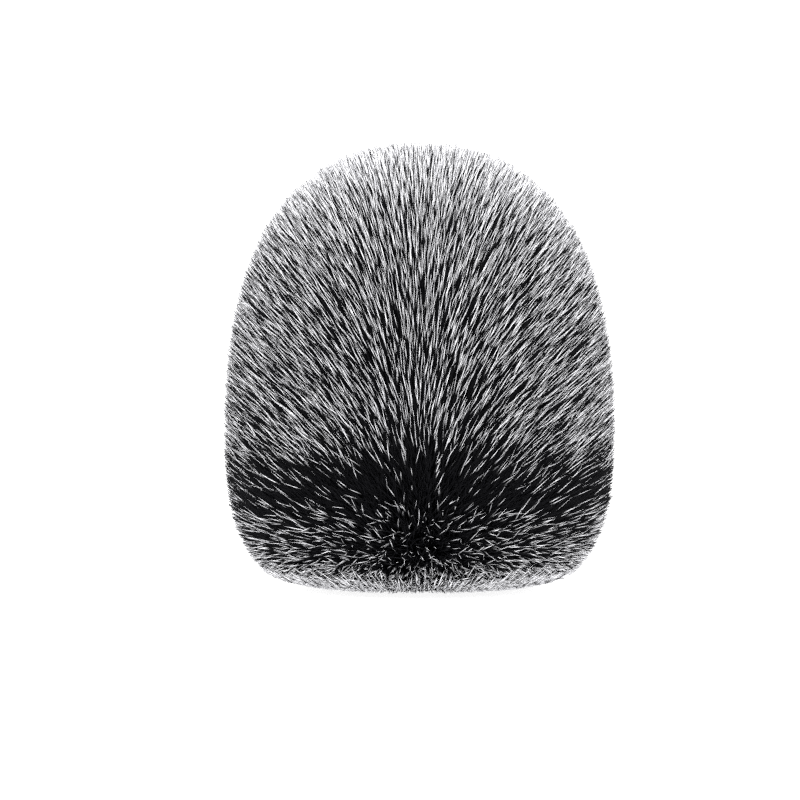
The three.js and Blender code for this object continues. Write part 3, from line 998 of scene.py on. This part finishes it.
def locks(roots, normals):
    """The root, bend and tip of each lock, its place between black and silver, and its frosting. Which
    locks are silver, and how much silver they show, hold painted shade and painted light besides the pile's
    own colour.
    """
    count = len(roots)
    near_foot = np.clip(1 - roots[:, 2] / TOUSLED_HEIGHT, 0, 1)
    near_middle = np.clip(1 - np.abs(roots[:, 0]) / TOUSLED_WIDTH, 0, 1)
    under = np.clip(-normals[:, 2], 0, 1)
    tousled = near_foot * near_middle * (1 - under)
    unruly = (UNRULY + TOUSLED * tousled)[:, None]
    lines = STANDING * normals + BRUSHED * brushed(roots, normals) + draws.normal(0, 1, (count, 3)) * unruly
    floor = GROUND + GROUND_SPREAD * draws.random(count)
    lines = unit(lines)
    outwards = (lines * normals).sum(1, keepdims=True)
    lines = unit(lines + normals * np.maximum(0, LEAST_OUTWARDS - outwards))
    lines[:, 2] = np.maximum(lines[:, 2], (floor - roots[:, 2]) / GROUND_RUN)
    lines = unit(lines)
    full = np.maximum(reach(roots, lines, floor), SHORTEST)
    ends = roots + lines * full[:, None]
    # Tip heights for the painted shade band, which ends lower towards the sides.
    level = ends[:, 2] + SHADE_DROP * np.clip(np.abs(ends[:, 0]) / SIDE, 0, 1) ** 2
    level = np.where(ends[:, 2] > SHADE_FLOOR, level, ends[:, 2])
    share = np.interp(level, SILVER_HEIGHTS, SILVER_SHARES_WITH_PAINTED_SHADING)
    # Painted shade at the sides: fewer silver locks where the tips are seen edge on.
    share = share * (1 - SIDE_PAINTED_SHADE * np.clip((np.abs(ends[:, 0]) - SIDE) / SIDE_BAND, 0, 1))
    rank = np.empty(count)
    rank[np.lexsort(np.floor(ends / SILVER_CELL).T)] = np.arange(count)
    silver = rank * GOLDEN % 1 < share
    tone = np.where(silver, draws.uniform(*SILVER_TONES, count), draws.uniform(*BLACK_TONES, count))
    uneven = np.where(silver, draws.uniform(*SILVER_LENGTHS, count), draws.uniform(*BLACK_LENGTHS, count))
    lengths = full * uneven * (1 - TOUSLED_SHORTER * tousled)
    tips = roots + lines * lengths[:, None]
    leaders = gathered(tips, TUFT)
    tips = tips + (tips[leaders] - tips) * draws.uniform(0.0, TUFT_PULL, count)[:, None]
    tips[:, 2] = np.maximum(tips[:, 2], TIP_GROUND)
    bends = roots + unit(BEND_SQUARE * normals + BEND_ALONG * lines) * lengths[:, None] * BEND_AT
    bends[:, 2] = np.maximum(bends[:, 2], GROUND)
    # Less silver shows on the tousled locks low in the middle: painted shade where they point at the
    # camera.
    frosting_with_painted_shade = draws.uniform(*FROSTING, count) - TOUSLED_PAINTED_SHADE * tousled
    return roots, bends, tips, tone, frosting_with_painted_shade


def pile_material():
    """Dyed fibre: every lock is black at the root, and its own shade of black or silver at the tip."""
    made, nodes, links, shader = new_material("salt_and_pepper_pile", 0.6)
    shader.inputs["Specular IOR Level"].default_value = 0.06
    place = placed(nodes, "ShaderNodeUVMap", uv_map=PILE_MAP)
    split = nodes.new("ShaderNodeSeparateXYZ")
    links.new(place.outputs["UV"], split.inputs[0])
    rise = placed(
        nodes, "ShaderNodeMapRange", interpolation_type="SMOOTHSTEP",
        **{"From Min": 0.62, "From Max": 0.79},
    )
    links.new(split.outputs["Y"], rise.inputs["Value"])
    tip = placed(nodes, "ShaderNodeValToRGB")
    ramp = tip.color_ramp
    ramp.elements[0].position, ramp.elements[0].color = BLACK_TONES[1], FIBRE_BLACK
    ramp.elements[1].position, ramp.elements[1].color = SILVER_TONES[0], FIBRE_SILVER
    white_tip = ramp.elements.new(0.8)
    white_tip.color = FIBRE_WHITE
    links.new(split.outputs["X"], tip.inputs["Fac"])
    mix = placed(nodes, "ShaderNodeMix", data_type="RGBA")
    mix.inputs["A"].default_value = FIBRE_BLACK
    links.new(rise.outputs["Result"], mix.inputs["Factor"])
    links.new(tip.outputs["Color"], mix.inputs["B"])
    links.new(mix.outputs["Result"], shader.inputs["Base Color"])
    return made


pile_finish = pile_material()


def pile_piece(name, roots, bends, tips, tone, frosting_with_painted_shade):
    """One mesh of locks. Its map holds their shade across, and the way from root to tip along."""
    count, size = len(roots), len(lock_points)
    t = lock_points[:, 2][None, :, None]
    r, b, e = roots[:, None], bends[:, None], tips[:, None]
    line = (1 - t) ** 2 * r + 2 * t * (1 - t) * b + t**2 * e
    along = 2 * (1 - t) * (b - r) + 2 * t * (e - b)
    along /= np.maximum(np.linalg.norm(along, axis=2, keepdims=True), 1e-12)
    aside = np.cross(along, draws.normal(size=(count, 1, 3)))
    aside /= np.maximum(np.linalg.norm(aside, axis=2, keepdims=True), 1e-12)
    across = np.cross(along, aside)
    finer = np.where(tone > 0.5, SILVER_FINER, 1)
    radius = (LOCK_RADIUS * draws.uniform(*LOCK_GIRTHS, count) * finer)[:, None, None]
    x, y = lock_points[:, 0][None, :, None], lock_points[:, 1][None, :, None]
    places = line + radius * (x * aside + y * across)
    mesh = bpy.data.meshes.new(name)
    starts = np.cumsum([0] + [len(f) for f in lock_faces[:-1]])
    loops = np.concatenate([np.array(f) for f in lock_faces])
    every = np.arange(count)[:, None]
    mesh.vertices.add(count * size)
    mesh.vertices.foreach_set("co", places.astype(np.float32).ravel())
    mesh.loops.add(count * len(loops))
    mesh.loops.foreach_set("vertex_index", (loops[None] + every * size).astype(np.int32).ravel())
    mesh.polygons.add(count * len(lock_faces))
    mesh.polygons.foreach_set("loop_start", (starts[None] + every * len(loops)).astype(np.int32).ravel())
    mesh.polygons.foreach_set("use_smooth", np.ones(count * len(lock_faces), bool))
    mesh.update(calc_edges=True)
    layout = mesh.uv_layers.new(name=PILE_MAP)
    corner = np.round(np.arctan2(lock_points[loops, 1], lock_points[loops, 0]) / (2 * np.pi / 3)) % 3
    u = 0.02 + 0.95 * tone[:, None] + 0.004 * corner[None]
    v = 0.01 + 0.98 * lock_points[loops, 2][None] * frosting_with_painted_shade[:, None]
    layout.data.foreach_set("uv", np.stack([u, v], 2).astype(np.float32).ravel())
    mesh.materials.append(pile_finish)
    piece = bpy.data.objects.new(name, mesh)
    bpy.context.scene.collection.objects.link(piece)
    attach(piece, "fur_cover")


dome_locks = locks(*roots_on(gore_skin))
for depth, width in QUARTERS:
    quarter = np.flatnonzero(
        (np.sign(dome_locks[0][:, 0]) == SIDES[width]) & (np.sign(dome_locks[0][:, 1]) == SIDES[depth])
    )
    quarter = quarter[np.argsort(dome_locks[0][quarter, 2], kind="stable")]
    for level, chosen in zip(("lower", "upper"), np.array_split(quarter, 2)):
        pile_piece(f"pile_{depth}_{width}_{level}", *(part[chosen] for part in dome_locks))
pile_piece("pile_underneath", *locks(*roots_on(gusset_skin)))
bpy.data.objects.remove(gore_skin)
bpy.data.objects.remove(gusset_skin)

# --------------------------------------------------------------------
# Studio: a white light table in a white room, with one soft lamp overhead.
# --------------------------------------------------------------------

CAMERA_DISTANCE = 0.72
CAMERA_TILT = math.radians(1.5)
CAMERA_AIM = (-0.0063, 0.0609)  # across, and up
ROOM_LIGHT = 2.7

bpy.ops.mesh.primitive_plane_add(size=8, location=(0, 0, -0.0002))
floor = bpy.context.object
floor.name = "studio_floor"
white, _, _, floor_shader = new_material("white_floor", 0.9)
floor_shader.inputs["Base Color"].default_value = (0.5, 0.5, 0.5, 1)
floor_shader.inputs["Emission Color"].default_value = (1, 1, 1, 1)
floor_shader.inputs["Emission Strength"].default_value = 0.9
floor.data.materials.append(white)

world = bpy.data.worlds.new("white_room")
bpy.context.scene.world = world
world.use_nodes = True
world.node_tree.nodes["Background"].inputs["Color"].default_value = (1, 1, 1, 1)
world.node_tree.nodes["Background"].inputs["Strength"].default_value = ROOM_LIGHT

lamp_place = Vector((0, -0.15, 1.0))
lamp = bpy.data.lights.new("overhead_softbox", "AREA")
lamp.shape, lamp.size, lamp.energy = "DISK", 0.8, 2
softbox = bpy.data.objects.new("overhead_softbox", lamp)
softbox.location = lamp_place
softbox.rotation_euler = (Vector((0, 0, HEIGHT / 2)) - lamp_place).to_track_quat("-Z", "Y").to_euler()
bpy.context.scene.collection.objects.link(softbox)

camera = bpy.data.cameras.new("camera")
camera.lens, camera.sensor_width = 100, 36
eye = bpy.data.objects.new("camera", camera)
eye.location = (
    CAMERA_AIM[0],
    -CAMERA_DISTANCE * math.cos(CAMERA_TILT),
    CAMERA_AIM[1] + CAMERA_DISTANCE * math.sin(CAMERA_TILT),
)
eye.rotation_euler = (math.pi / 2 - CAMERA_TILT, 0, 0)
bpy.context.scene.collection.objects.link(eye)
bpy.context.scene.camera = eye
bpy.context.scene.view_settings.view_transform = "Standard"
bpy.context.scene.cycles.use_denoising = False
